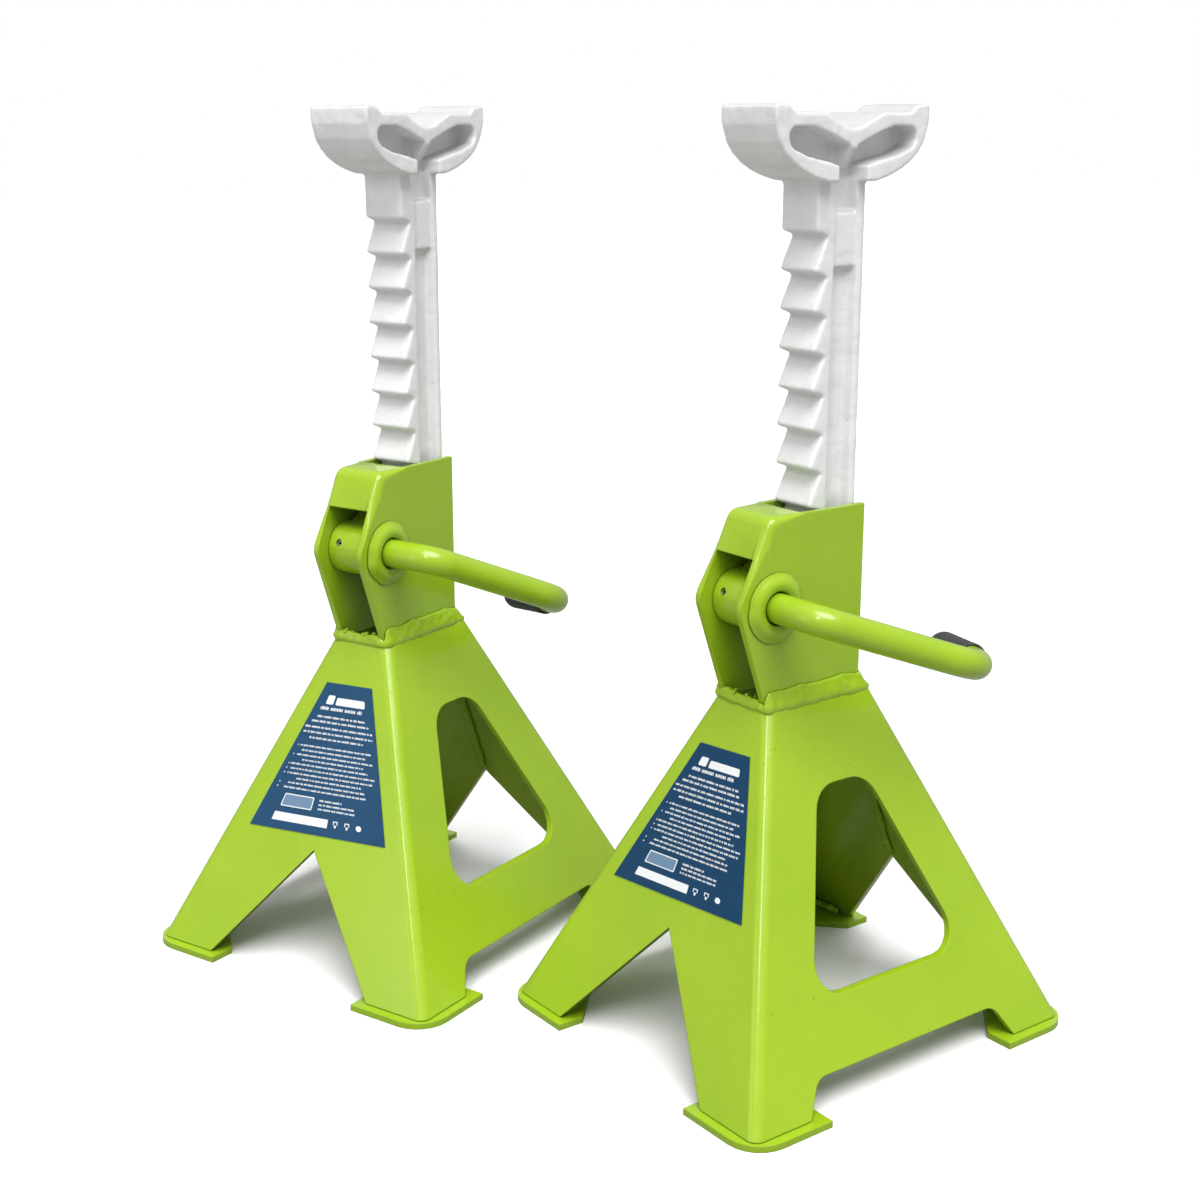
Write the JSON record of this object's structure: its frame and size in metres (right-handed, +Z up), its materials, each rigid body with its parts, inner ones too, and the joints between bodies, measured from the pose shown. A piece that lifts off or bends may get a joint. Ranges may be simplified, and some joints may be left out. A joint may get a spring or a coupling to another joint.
{
  "type": "axle jack stands",
  "caption": "Pair of ratchet axle stands: folded steel pyramid base on foot plates, toothed lifting bar with a curved saddle, pawl worked by a bent side handle.",
  "frame": {"origin": "centre of the pair's bounding box, on the floor", "axes": "+Z up; +X the way the near stand's handle leaves its housing; +Y away from the near stand's label. The far stand is turned 19.84 degrees about +Z."},
  "size_m": [0.3936, 0.3012, 0.406],
  "materials": {
    "green_powder_coat": "glossy lime green powder coat",
    "white_paint": "semi-gloss white paint on a rough casting",
    "black_rubber": "matt",
    "label_vinyl": "printed vinyl, satin",
    "plain_steel": "plain spring steel"
  },
  "bodies": {
    "near_base_body": {"near_base_shell": "green_powder_coat", "near_foot_plate_back_left": "green_powder_coat", "near_foot_plate_back_right": "green_powder_coat", "near_foot_plate_front_left": "green_powder_coat", "near_foot_plate_front_right": "green_powder_coat", "near_foot_weld_back_left": "green_powder_coat", "near_foot_weld_back_right": "green_powder_coat", "near_foot_weld_front_left": "green_powder_coat", "near_foot_weld_front_right": "green_powder_coat", "near_housing": "green_powder_coat", "near_housing_back_plate": "green_powder_coat", "near_label": "label_vinyl", "near_left_bushing": "green_powder_coat", "near_left_bushing_weld": "green_powder_coat", "near_neck_weld": "green_powder_coat", "near_rear_seam_weld": "green_powder_coat", "near_right_bushing": "green_powder_coat", "near_right_bushing_weld": "green_powder_coat"},
    "near_bar_body": {"near_ratchet_bar": "white_paint", "near_bar_stop_pin": "plain_steel"},
    "near_handle_body": {"near_pawl": "green_powder_coat", "near_roll_pin": "plain_steel", "near_handle_rod": "green_powder_coat", "near_handle_grip": "black_rubber"},
    "far_base_body": {"far_base_shell": "green_powder_coat", "far_foot_plate_back_left": "green_powder_coat", "far_foot_plate_back_right": "green_powder_coat", "far_foot_plate_front_left": "green_powder_coat", "far_foot_plate_front_right": "green_powder_coat", "far_foot_weld_back_left": "green_powder_coat", "far_foot_weld_back_right": "green_powder_coat", "far_foot_weld_front_left": "green_powder_coat", "far_foot_weld_front_right": "green_powder_coat", "far_housing": "green_powder_coat", "far_housing_back_plate": "green_powder_coat", "far_label": "label_vinyl", "far_left_bushing": "green_powder_coat", "far_left_bushing_weld": "green_powder_coat", "far_neck_weld": "green_powder_coat", "far_rear_seam_weld": "green_powder_coat", "far_right_bushing": "green_powder_coat", "far_right_bushing_weld": "green_powder_coat"},
    "far_bar_body": {"far_ratchet_bar": "white_paint", "far_bar_stop_pin": "plain_steel"},
    "far_handle_body": {"far_pawl": "green_powder_coat", "far_roll_pin": "plain_steel", "far_handle_rod": "green_powder_coat", "far_handle_grip": "black_rubber"}
  },
  "joints": [
    {"name": "near_bar_slide", "type": "slide", "parent": "near_base_body", "child": "near_bar_body", "axis": [0, 0, 1], "range_m": [-0.132, 0.0165]},
    {"name": "near_handle_hinge", "type": "hinge", "parent": "near_base_body", "child": "near_handle_body", "pos_m": [0.10796, 0.02792, 0.2003], "axis": [1, 0, 0], "range_deg": [0, 40]},
    {"name": "far_stand_lift", "type": "slide", "parent": "near_base_body", "child": "far_base_body", "axis": [0, 0, 1], "range_m": [0, 0.12]},
    {"name": "far_bar_slide", "type": "slide", "parent": "far_base_body", "child": "far_bar_body", "axis": [0, 0, 1], "range_m": [-0.132, 0.0165]},
    {"name": "far_handle_hinge", "type": "hinge", "parent": "far_base_body", "child": "far_handle_body", "pos_m": [-0.07614, -0.05786, 0.2003], "axis": [0.9406, 0.3394, 0], "range_deg": [0, 40]}
  ]
}
